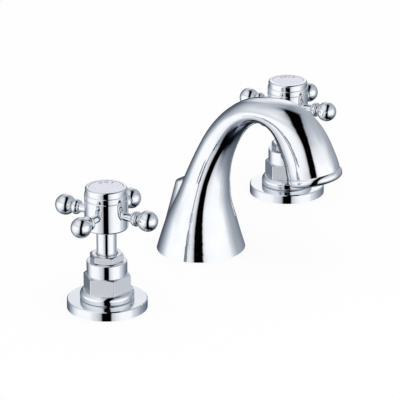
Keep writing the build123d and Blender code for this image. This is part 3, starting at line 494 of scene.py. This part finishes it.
lines = lined(tree, place, mill_line, (line_stretch, line_stretch, 1.0))
cut = maths(tree, "MULTIPLY", lines, milled)
scored = raised(tree, cut, 0.25, 0.00004, ripple)
surfaced(tree, ("Base Color", plate), ("Metallic", 1.0), ("Roughness", dulled),
         ("Normal", scored))
for side in sides:
    dress(milled_plate, f"{side}_cover", f"{side}_gland_nut")


# Handle. A sleeve round the spindle carries a drum with four turned arms screwed into it,
# each with a bell-shaped bead and a ball, all in the same chromium plate.
for side in sides:
    dress(chrome_plate, f"{side}_stem_sleeve", f"{side}_handle_hub", f"{side}_cap_ring")
    dress(chrome_plate, *[f"{side}_handle_arm_{arm}" for arm in (1, 2, 3, 4)])


# Index disc on top of each handle. It is moulded in pale lilac plastic with a satin skin,
# pressed into the cap, and its small grey letters stand a hair proud along one edge.
index_plastic, tree, place = new_finish("moulded_acetal")
disc_cloud = 0.0025
disc_grain = 0.0005
cloud = noise(tree, place, disc_cloud, 3.0)
body_colour = toned(tree, cloud, (0.35, "#DCDCE8"), (0.65, "#E2E2EC"))
orange_peel = raised(tree, noise(tree, place, disc_grain, 2.0), 0.2, 0.00003)
surfaced(tree, ("Base Color", body_colour), ("Roughness", 0.42), ("Normal", orange_peel))
for side in sides:
    dress(index_plastic, f"{side}_index_disc")

# Grey letter plastic, of the second shot of the moulding: matt, with a fine mottle.
letter_plastic, tree, place = new_finish("grey_letter_plastic")
letter_mottle = 0.0004
mottle = noise(tree, place, letter_mottle, 2.0)
body_colour = toned(tree, mottle, (0.35, "#5E606A"), (0.65, "#6C6E78"))
surfaced(tree, ("Base Color", body_colour), ("Roughness", 0.5))

capital_share = 0.7                 # a capital's height over the font's size
letter_height = 0.0022
letter_rise = 0.00008               # above the disc
letter_root = 0.0001                # sunk into the disc
letter_arc = 0.0080                 # radius of the line of letters
word_length = 0.0112
word_middle = math.radians(29.71)
weld_distance = 1e-7


def drawn_letter(letter):
    """Mesh of a block letter that lies flat, centred on X = 0."""
    curve = bpy.data.curves.new("letter", "FONT")
    curve.body = letter
    curve.align_x = "CENTER"
    curve.size = letter_height / capital_share
    curve.extrude = (letter_rise + letter_root) / 2.0
    curve.resolution_u = 3
    stamp = bpy.data.objects.new("letter", curve)
    scene.collection.objects.link(stamp)
    bpy.context.view_layer.update()
    graph = bpy.context.evaluated_depsgraph_get()
    drawn = bpy.data.meshes.new_from_object(stamp.evaluated_get(graph))
    bpy.data.objects.remove(stamp)
    bpy.data.curves.remove(curve)
    return drawn


for side, reach in valve_places:
    word = side.upper()
    disc_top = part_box(f"{side}_index_disc")[1].z
    letter_place = Matrix.Translation((reach, 0.0, disc_top + (letter_rise - letter_root) / 2.0))
    to_arc = Matrix.Translation((0.0, letter_arc - letter_height / 2.0, 0.0))
    words = bmesh.new()
    for k, letter in enumerate(word):
        turn = word_middle + (0.5 - (k + 0.5) / len(word)) * word_length / letter_arc
        drawn = drawn_letter(letter)
        drawn.transform(letter_place @ Matrix.Rotation(turn - math.pi / 2.0, 4, "Z") @ to_arc)
        words.from_mesh(drawn)
        bpy.data.meshes.remove(drawn)
    bmesh.ops.remove_doubles(words, verts=words.verts, dist=weld_distance)
    mesh = bpy.data.meshes.new(f"{side}_letters")
    words.to_mesh(mesh)
    words.free()
    letters = bpy.data.objects.new(f"{side}_letters", mesh)
    scene.collection.objects.link(letters)
    letters.data.materials.append(letter_plastic)
    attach(letters, f"{side}_handle")


# Spout. One brass casting, ground smooth and chromium plated, with a moulded plug in the
# hole of the lift rod that this mixer doesn't have.
dress(chrome_plate, "spout_body")

# Grey nylon of the plug: matt from the mould, with a fine grain.
moulded_nylon, tree, place = new_finish("moulded_grey_nylon")
nylon_grain = 0.0007
grain = noise(tree, place, nylon_grain, 2.0)
body_colour = toned(tree, grain, (0.35, "#6E7073"), (0.65, "#7D7F82"))
texture = raised(tree, grain, 0.3, 0.00005)
surfaced(tree, ("Base Color", body_colour), ("Roughness", 0.5), ("Normal", texture))
dress(moulded_nylon, "rod_hole_plug")


# Aerator. A moulded core breaks up the water behind a punched steel screen, and the plated
# ring that holds both screws up into the mouth.
dress(chrome_plate, "aerator_housing")

# White acetal of the core: off-white and softly shiny, with a faint mottle.
moulded_acetal, tree, place = new_finish("moulded_white_acetal")
core_grain = 0.0008
grain = noise(tree, place, core_grain, 2.0)
body_colour = toned(tree, grain, (0.35, "#E9E9E4"), (0.65, "#DEDED8"))
surfaced(tree, ("Base Color", body_colour), ("Roughness", 0.38))
dress(moulded_acetal, "aerator_core")
